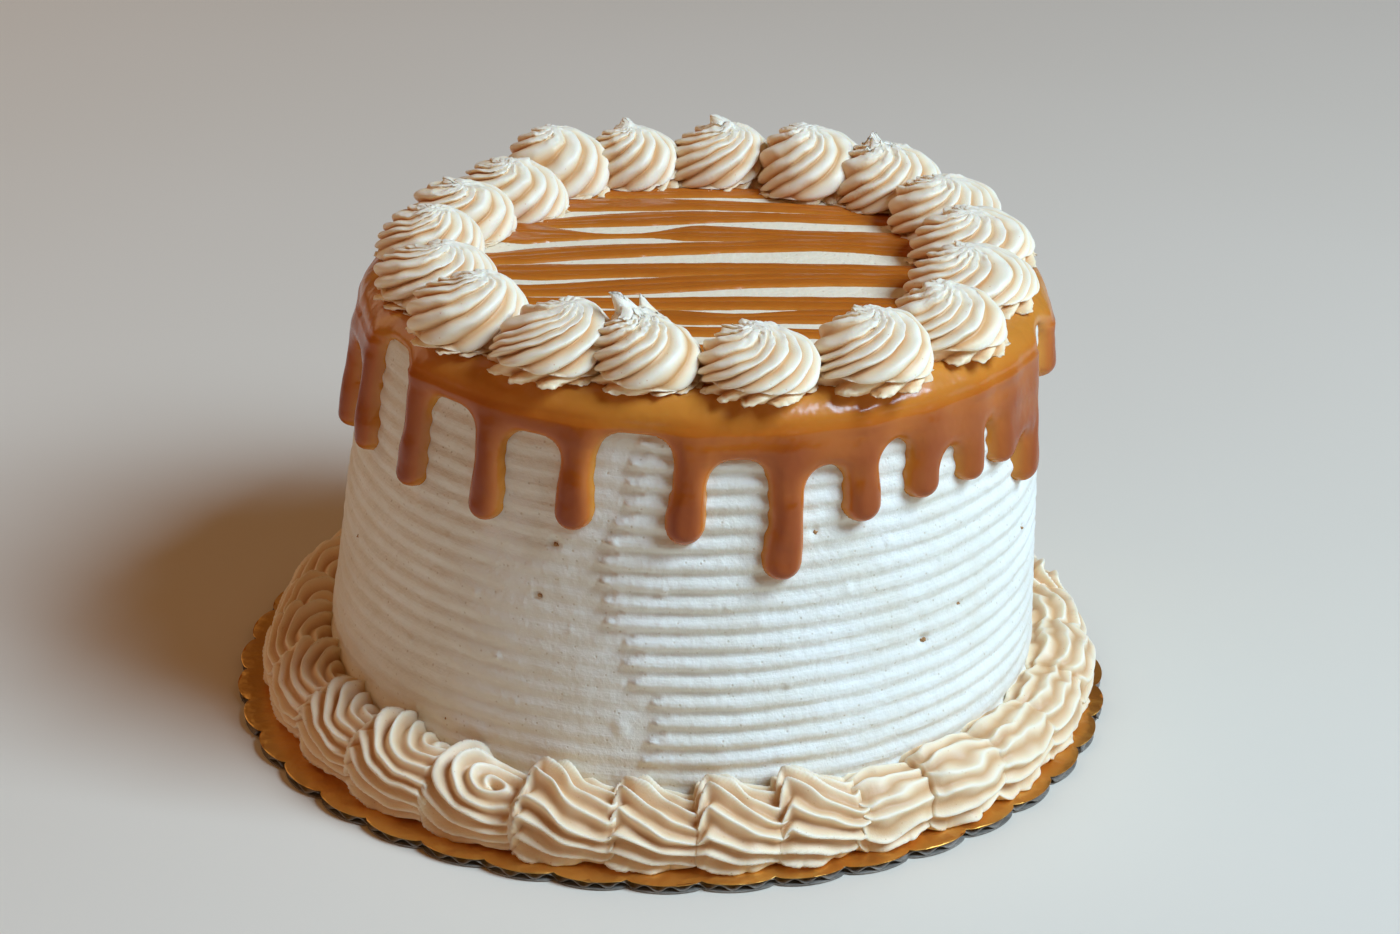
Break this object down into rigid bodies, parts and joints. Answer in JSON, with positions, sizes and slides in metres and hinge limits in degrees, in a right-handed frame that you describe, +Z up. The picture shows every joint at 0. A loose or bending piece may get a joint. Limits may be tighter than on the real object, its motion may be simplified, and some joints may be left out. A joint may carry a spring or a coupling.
{
  "type": "frosted layer cake",
  "caption": "Whole round comb-frosted layer cake with a caramel drip, drizzled top, a ring of piped swirls and a shell border, on a scalloped gold cake card.",
  "frame": {"origin": "centre of the underside of the cake card", "axes": "+Z up; -Y is the side that faces the viewer in the picture, with the front comb seam; +X is to the viewer's right"},
  "size_m": [0.254, 0.254, 0.1493],
  "materials": {
    "gold_foil_card": "gold foil laminated on corrugated card",
    "buttercream": "matte buttercream, comb-ridged",
    "piped_cream": "satin piped peanut butter buttercream",
    "caramel": "glossy set caramel"
  },
  "bodies": {
    "root": {"cake_card": "gold_foil_card", "frosted_cake": "buttercream", "caramel": "caramel", "top_swirl_01": "piped_cream", "top_swirl_02": "piped_cream", "top_swirl_03": "piped_cream", "top_swirl_04": "piped_cream", "top_swirl_05": "piped_cream", "top_swirl_06": "piped_cream", "top_swirl_07": "piped_cream", "top_swirl_08": "piped_cream", "top_swirl_09": "piped_cream", "top_swirl_10": "piped_cream", "top_swirl_11": "piped_cream", "top_swirl_12": "piped_cream", "top_swirl_13": "piped_cream", "top_swirl_14": "piped_cream", "top_swirl_15": "piped_cream", "top_swirl_16": "piped_cream", "top_swirl_17": "piped_cream", "top_swirl_18": "piped_cream", "base_shell_01": "piped_cream", "base_shell_02": "piped_cream", "base_shell_03": "piped_cream", "base_shell_04": "piped_cream", "base_shell_05": "piped_cream", "base_shell_06": "piped_cream", "base_shell_07": "piped_cream", "base_shell_08": "piped_cream", "base_shell_09": "piped_cream", "base_shell_10": "piped_cream", "base_shell_11": "piped_cream", "base_shell_12": "piped_cream", "base_shell_13": "piped_cream", "base_shell_14": "piped_cream", "base_shell_15": "piped_cream", "base_shell_16": "piped_cream", "base_shell_17": "piped_cream", "base_shell_18": "piped_cream", "base_shell_19": "piped_cream", "base_shell_20": "piped_cream", "base_shell_21": "piped_cream", "base_shell_22": "piped_cream", "base_shell_23": "piped_cream", "base_shell_24": "piped_cream", "base_shell_25": "piped_cream", "base_shell_26": "piped_cream", "base_shell_27": "piped_cream", "base_shell_28": "piped_cream", "base_shell_29": "piped_cream"}
  },
  "joints": []
}
